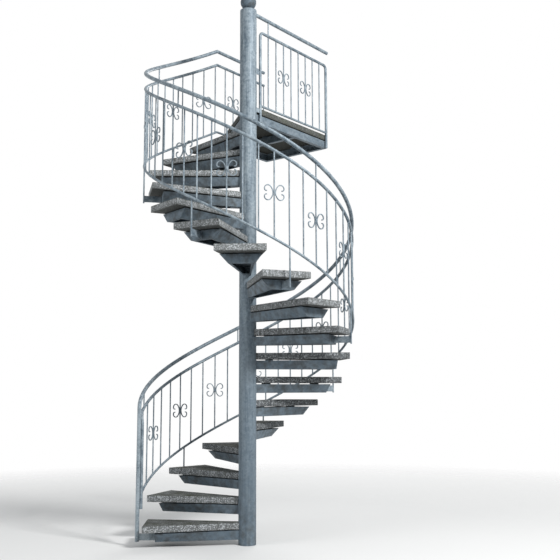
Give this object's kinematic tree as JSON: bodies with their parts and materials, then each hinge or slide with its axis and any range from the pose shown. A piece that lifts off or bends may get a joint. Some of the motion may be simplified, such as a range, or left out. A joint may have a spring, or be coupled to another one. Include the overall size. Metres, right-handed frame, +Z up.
{
  "type": "outdoor spiral staircase with landing",
  "caption": "Steel spiral stair that turns clockwise up a round pole, with stone wedge treads on folded carriers, a helical balustrade with scrolls, and a landing",
  "frame": {"origin": "centre of the pole's foot, on the ground", "axes": "+Z up along the pole, +X along the house wall from the pole to the balcony, +Y towards the wall"},
  "size_m": [2.1424, 1.8836, 4.9345],
  "materials": {
    "galvanised_pole": "hot-dip galvanised, mottled and weathered",
    "galvanised_tube": "hot-dip galvanised, weathered",
    "galvanised_sheet": "hot-dip galvanised sheet with visible spangle",
    "washed_stone": "speckled washed aggregate, mossy on top"
  },
  "bodies": {
    "root": {"balusters_lower": "galvanised_tube", "balusters_middle": "galvanised_tube", "balusters_upper": "galvanised_tube", "bottom_rail_lower": "galvanised_tube", "bottom_rail_middle": "galvanised_tube", "bottom_rail_upper": "galvanised_tube", "handrail_lower": "galvanised_tube", "handrail_middle": "galvanised_tube", "handrail_upper": "galvanised_tube", "landing_balusters": "galvanised_tube", "landing_frame": "galvanised_sheet", "landing_handrail": "galvanised_tube", "landing_panel_frame": "galvanised_tube", "landing_scrolls": "galvanised_tube", "landing_slab": "washed_stone", "mid_rail_lower": "galvanised_tube", "mid_rail_middle": "galvanised_tube", "mid_rail_upper": "galvanised_tube", "newel_post": "galvanised_tube", "pole": "galvanised_pole", "pole_ball": "galvanised_pole", "pole_cap": "galvanised_pole", "pole_clips": "galvanised_tube", "rail_links": "galvanised_tube", "scrolls_lower": "galvanised_tube", "scrolls_middle": "galvanised_tube", "scrolls_upper": "galvanised_tube", "support_bars": "galvanised_tube", "tread_01": "washed_stone", "tread_02": "washed_stone", "tread_03": "washed_stone", "tread_04": "washed_stone", "tread_05": "washed_stone", "tread_06": "washed_stone", "tread_07": "washed_stone", "tread_08": "washed_stone", "tread_09": "washed_stone", "tread_10": "washed_stone", "tread_11": "washed_stone", "tread_12": "washed_stone", "tread_13": "washed_stone", "tread_14": "washed_stone", "tread_15": "washed_stone", "tread_16": "washed_stone", "tread_17": "washed_stone", "tread_18": "washed_stone", "tread_carriers_lower": "galvanised_sheet", "tread_carriers_middle": "galvanised_sheet", "tread_carriers_upper": "galvanised_sheet"}
  },
  "joints": []
}
